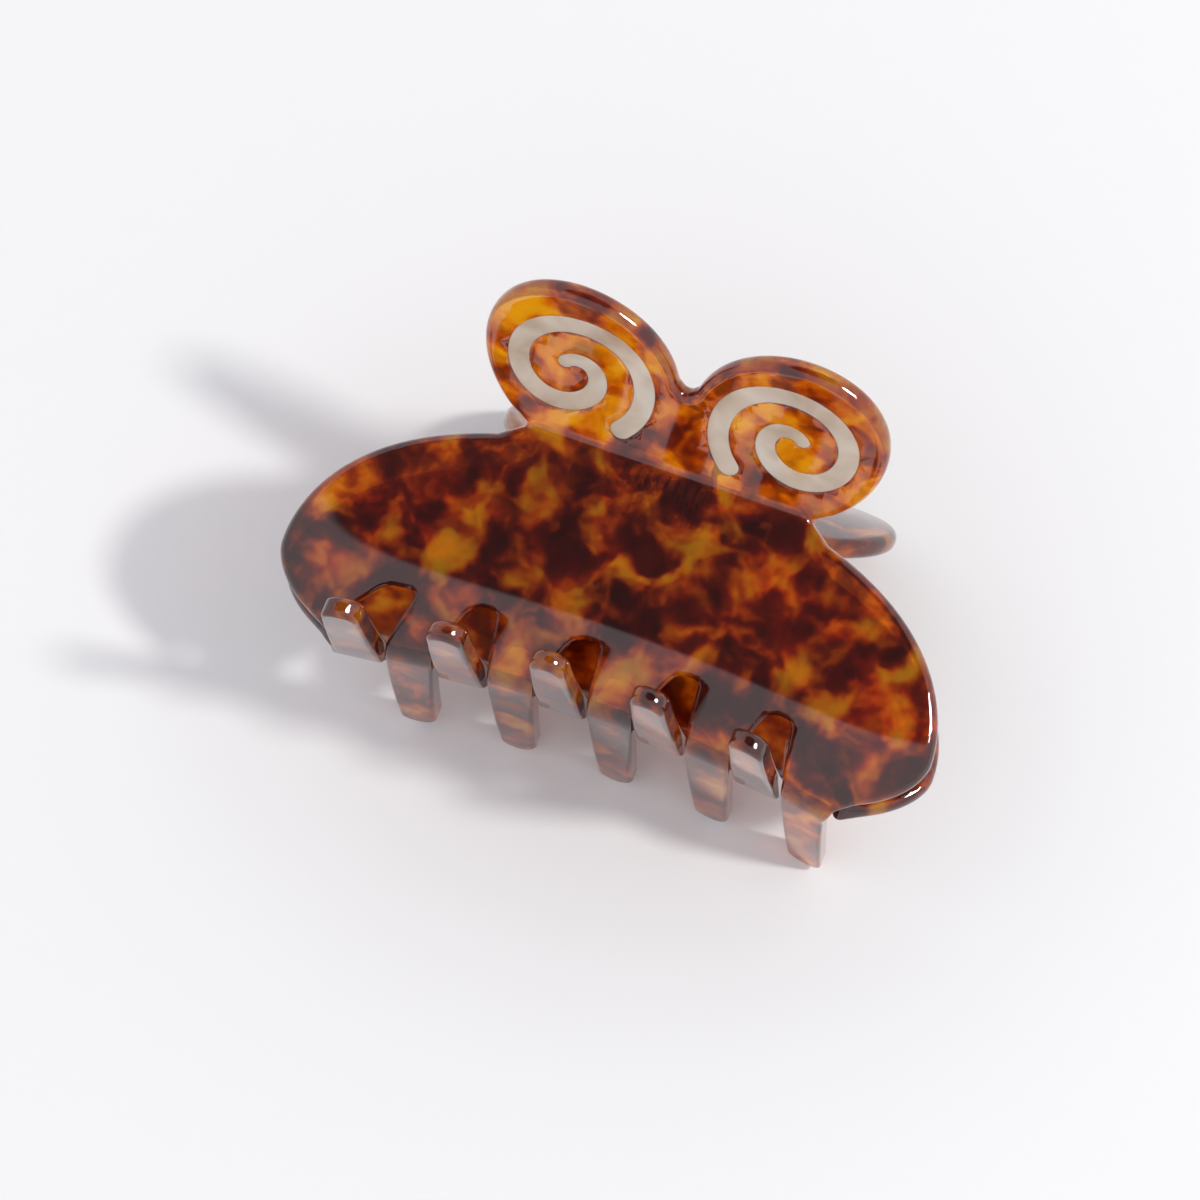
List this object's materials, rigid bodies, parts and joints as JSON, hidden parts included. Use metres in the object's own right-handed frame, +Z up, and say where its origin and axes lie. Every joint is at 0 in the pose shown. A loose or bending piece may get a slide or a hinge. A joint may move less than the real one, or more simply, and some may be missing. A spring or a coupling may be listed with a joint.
{
  "type": "claw clip",
  "caption": "Closed hair claw with butterfly-shaped handles, inlaid spirals, a D-shaped bent body and interlocking bent teeth, lying on one jaw.",
  "frame": {"origin": "centre of the bounding box at the floor the clip lies on", "axes": "+X along the hinge pin, +Y from the teeth to the handles along the floor, +Z up from the rear jaw to the front jaw"},
  "size_m": [0.1008, 0.064, 0.0667],
  "materials": {
    "tortoise_acetate": "polished translucent tortoiseshell cellulose acetate",
    "pearl_acetate": "polished pearlescent cellulose acetate",
    "nickel_plated_steel": "bright nickel plate"
  },
  "bodies": {
    "front_jaw": {"front_jaw": "tortoise_acetate", "front_left_knuckle": "tortoise_acetate", "front_right_knuckle": "tortoise_acetate", "front_left_spiral_inlay": "pearl_acetate", "front_right_spiral_inlay": "pearl_acetate"},
    "rear_jaw": {"rear_jaw": "tortoise_acetate", "rear_left_knuckle": "tortoise_acetate", "rear_right_knuckle": "tortoise_acetate", "rear_left_spiral_inlay": "pearl_acetate", "rear_right_spiral_inlay": "pearl_acetate", "hinge_pin": "nickel_plated_steel", "pin_cap": "nickel_plated_steel", "torsion_spring": "nickel_plated_steel"}
  },
  "joints": [
    {"name": "jaw_hinge", "type": "hinge", "parent": "rear_jaw", "child": "front_jaw", "pos_m": [0, 0.0098, 0.03104], "axis": [-1, 0, 0], "range_deg": [0, 60], "stiffness_Nm_per_rad": 0.25, "springref_deg": -45.84, "deforming": ["torsion_spring"]}
  ]
}
